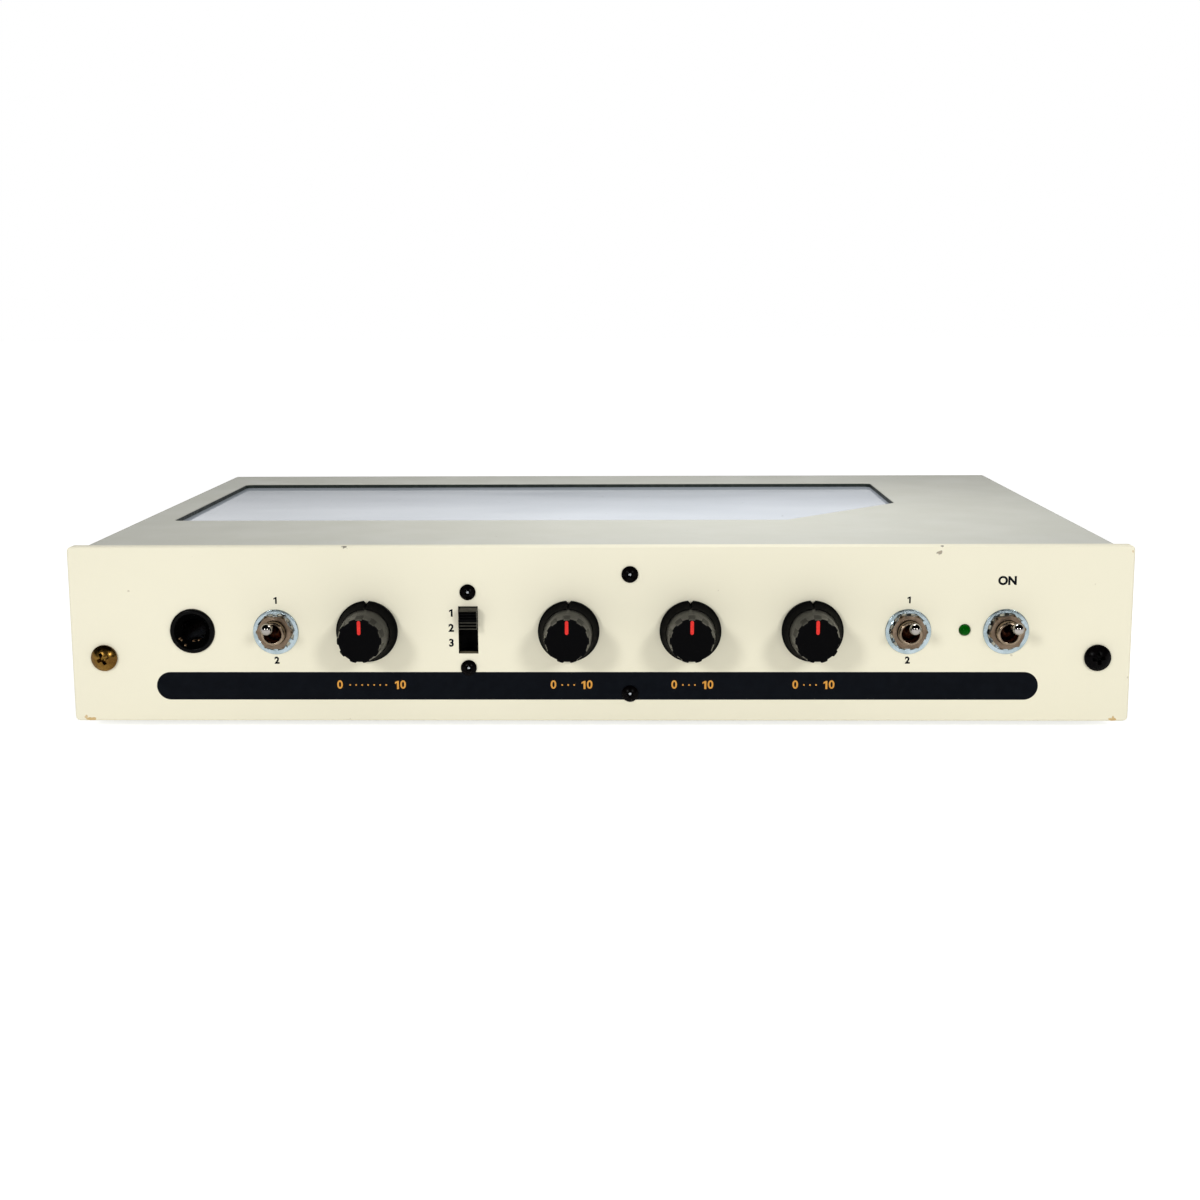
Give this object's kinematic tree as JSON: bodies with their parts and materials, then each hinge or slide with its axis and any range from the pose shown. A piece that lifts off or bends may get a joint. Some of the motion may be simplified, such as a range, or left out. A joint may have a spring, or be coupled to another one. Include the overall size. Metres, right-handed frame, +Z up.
{
  "type": "tape echo unit",
  "caption": "Low metal case with a window over a tape loop transport, and a front panel with knobs, toggle switches, a slide switch, a lamp and a jack.",
  "frame": {"origin": "middle of the whole outline, at the underside of the feet", "axes": "+X to the right seen from the front, +Y to the back, +Z up"},
  "size_m": [0.28, 0.2002, 0.0495],
  "materials": {
    "panel_paint": "cream enamel, satin",
    "cover_paint": "cream enamel, satin",
    "pane_acrylic": "clear acrylic, polished",
    "zinc_sheet": "zinc plated",
    "foot_rubber": "matt",
    "bright_screws": "zinc plated",
    "yellow_screw": "yellow passivated",
    "black_screws": "black oxide",
    "knob_plastic": "glossy phenolic",
    "shaft_steel": "turned",
    "pot_can": "plated",
    "nut_nickel": "nickel plated",
    "bushing_nickel": "nickel plated",
    "washer_zinc": "bright zinc",
    "toggle_body": "phenolic",
    "lever_chrome": "bright chrome",
    "slider_plastic": "satin",
    "lamp_lens": "tinted epoxy",
    "jack_plastic": "satin",
    "contact_bronze": "phosphor bronze",
    "board_laminate": "solder mask",
    "board_black": "moulded",
    "deck_metal": "dark grey green enamel",
    "head_can": "mu-metal can",
    "flywheel_metal": "turned",
    "bearing_bronze": "sintered bronze",
    "motor_can": "plated can",
    "pulley_brass": "turned",
    "belt_rubber": "matt",
    "pinch_rubber": "matt",
    "roller_plastic": "acetal",
    "tape_film": "oxide coated film",
    "print_dark": "screen printed ink, satin",
    "print_orange": "screen printed ink, satin",
    "pointer_red": "moulded in",
    "window_edging": "dark edging round the window"
  },
  "bodies": {
    "case": {"front_panel": "panel_paint", "chassis_tray": "cover_paint", "top_cover": "cover_paint", "window_pane": "pane_acrylic", "panel_brackets": "zinc_sheet", "rubber_feet": "foot_rubber", "foot_screws": "bright_screws", "side_screw_left": "yellow_screw", "side_screw_right": "black_screws", "centre_screws": "black_screws", "cover_screws": "black_screws", "switch_screws": "black_screws", "pot_bodies": "pot_can", "pot_nuts": "nut_nickel", "toggle_bodies": "toggle_body", "toggle_bushings": "bushing_nickel", "toggle_washers": "washer_zinc", "toggle_nuts": "nut_nickel", "mode_switch_frame": "zinc_sheet", "power_lamp": "lamp_lens", "input_jack": "jack_plastic", "jack_contacts": "contact_bronze", "rear_jacks": "jack_plastic", "rear_jack_nuts": "nut_nickel", "power_inlet": "jack_plastic", "circuit_board": "board_laminate", "board_parts": "board_black", "standoffs": "zinc_sheet", "deck_plate": "deck_metal", "deck_screws": "black_screws", "erase_head": "head_can", "tape_heads": "head_can", "head_plate": "zinc_sheet", "capstan_bearing": "bearing_bronze", "motor": "motor_can", "drive_belt": "belt_rubber", "roller_posts": "zinc_sheet", "tape_loop": "tape_film"},
    "volume_knob": {"knob_volume": "knob_plastic", "shaft_volume": "shaft_steel"},
    "echo_knob": {"knob_echo": "knob_plastic", "shaft_echo": "shaft_steel"},
    "repeat_knob": {"knob_repeat": "knob_plastic", "shaft_repeat": "shaft_steel"},
    "time_knob": {"knob_time": "knob_plastic", "shaft_time": "shaft_steel"},
    "attenuator_toggle": {"lever_attenuator": "lever_chrome"},
    "cancel_toggle": {"lever_cancel": "lever_chrome"},
    "power_toggle": {"lever_power": "lever_chrome"},
    "mode_slider": {"mode_slider": "slider_plastic"},
    "capstan": {"capstan_shaft": "shaft_steel", "flywheel": "flywheel_metal"},
    "motor_drive": {"motor_pulley": "pulley_brass"},
    "roller_front": {"guide_roller_front": "roller_plastic"},
    "roller_right": {"guide_roller_right": "roller_plastic"},
    "roller_rear": {"guide_roller_rear": "roller_plastic"},
    "pinch_arm": {"pinch_arm": "zinc_sheet"},
    "pinch_roller": {"pinch_roller": "pinch_rubber"},
    "tension_arm": {"tension_arm": "zinc_sheet"},
    "tension_roller": {"tension_roller": "roller_plastic"}
  },
  "joints": [
    {"name": "volume_turn", "type": "hinge", "parent": "case", "child": "volume_knob", "pos_m": [-0.0609, -0.08485, 0.0271], "axis": [0, 1, 0], "range_deg": [-150, 150]},
    {"name": "echo_turn", "type": "hinge", "parent": "case", "child": "echo_knob", "pos_m": [-0.0077, -0.08485, 0.0271], "axis": [0, 1, 0], "range_deg": [-150, 150]},
    {"name": "repeat_turn", "type": "hinge", "parent": "case", "child": "repeat_knob", "pos_m": [0.0243, -0.08485, 0.0271], "axis": [0, 1, 0], "range_deg": [-150, 150]},
    {"name": "time_turn", "type": "hinge", "parent": "case", "child": "time_knob", "pos_m": [0.0563, -0.08485, 0.0271], "axis": [0, 1, 0], "range_deg": [-150, 150]},
    {"name": "attenuator_flip", "type": "hinge", "parent": "case", "child": "attenuator_toggle", "pos_m": [-0.0853, -0.08385, 0.0269], "axis": [1, 0, 0], "range_deg": [0, 23]},
    {"name": "cancel_flip", "type": "hinge", "parent": "case", "child": "cancel_toggle", "pos_m": [0.0815, -0.08385, 0.0269], "axis": [1, 0, 0], "range_deg": [0, 23]},
    {"name": "power_flip", "type": "hinge", "parent": "case", "child": "power_toggle", "pos_m": [0.1071, -0.08385, 0.0269], "axis": [1, 0, 0], "range_deg": [0, 23]},
    {"name": "mode_slide", "type": "slide", "parent": "case", "child": "mode_slider", "axis": [0, 0, 1], "range_m": [-0.0066, 0]},
    {"name": "capstan_spin", "type": "hinge", "parent": "case", "child": "capstan", "pos_m": [0.044, -0.01185, 0.0365], "axis": [0, 0, 1], "continuous": true},
    {"name": "motor_spin", "type": "hinge", "parent": "case", "child": "motor_drive", "pos_m": [0, 0.02715, 0.0365], "axis": [0, 0, 1], "continuous": true},
    {"name": "roller_front_spin", "type": "hinge", "parent": "case", "child": "roller_front", "pos_m": [-0.112, -0.00885, 0.0365], "axis": [0, 0, 1], "continuous": true},
    {"name": "roller_right_spin", "type": "hinge", "parent": "case", "child": "roller_right", "pos_m": [0.076, 0.01715, 0.0365], "axis": [0, 0, 1], "continuous": true},
    {"name": "roller_rear_spin", "type": "hinge", "parent": "case", "child": "roller_rear", "pos_m": [-0.112, 0.05715, 0.0365], "axis": [0, 0, 1], "continuous": true},
    {"name": "pinch_swing", "type": "hinge", "parent": "case", "child": "pinch_arm", "pos_m": [0.018, -0.02885, 0.0275], "axis": [0, 0, -1], "range_deg": [0, 15]},
    {"name": "pinch_spin", "type": "hinge", "parent": "pinch_arm", "child": "pinch_roller", "pos_m": [0.044, -0.02355, 0.0365], "axis": [0, 0, 1], "continuous": true},
    {"name": "tension_swing", "type": "hinge", "parent": "case", "child": "tension_arm", "pos_m": [0.088, 0.03715, 0.0275], "axis": [0, 0, 1], "range_deg": [0, 15]},
    {"name": "tension_spin", "type": "hinge", "parent": "tension_arm", "child": "tension_roller", "pos_m": [0.07, 0.05515, 0.0365], "axis": [0, 0, 1], "continuous": true}
  ],
  "couplings": [
    {"joint": "motor_spin", "follows": "capstan_spin", "ratio": 4},
    {"joint": "roller_front_spin", "follows": "capstan_spin", "ratio": 0.5},
    {"joint": "roller_right_spin", "follows": "capstan_spin", "ratio": 0.5},
    {"joint": "roller_rear_spin", "follows": "capstan_spin", "ratio": 0.5},
    {"joint": "pinch_spin", "follows": "capstan_spin", "ratio": -0.375},
    {"joint": "tension_spin", "follows": "capstan_spin", "ratio": 0.5}
  ]
}
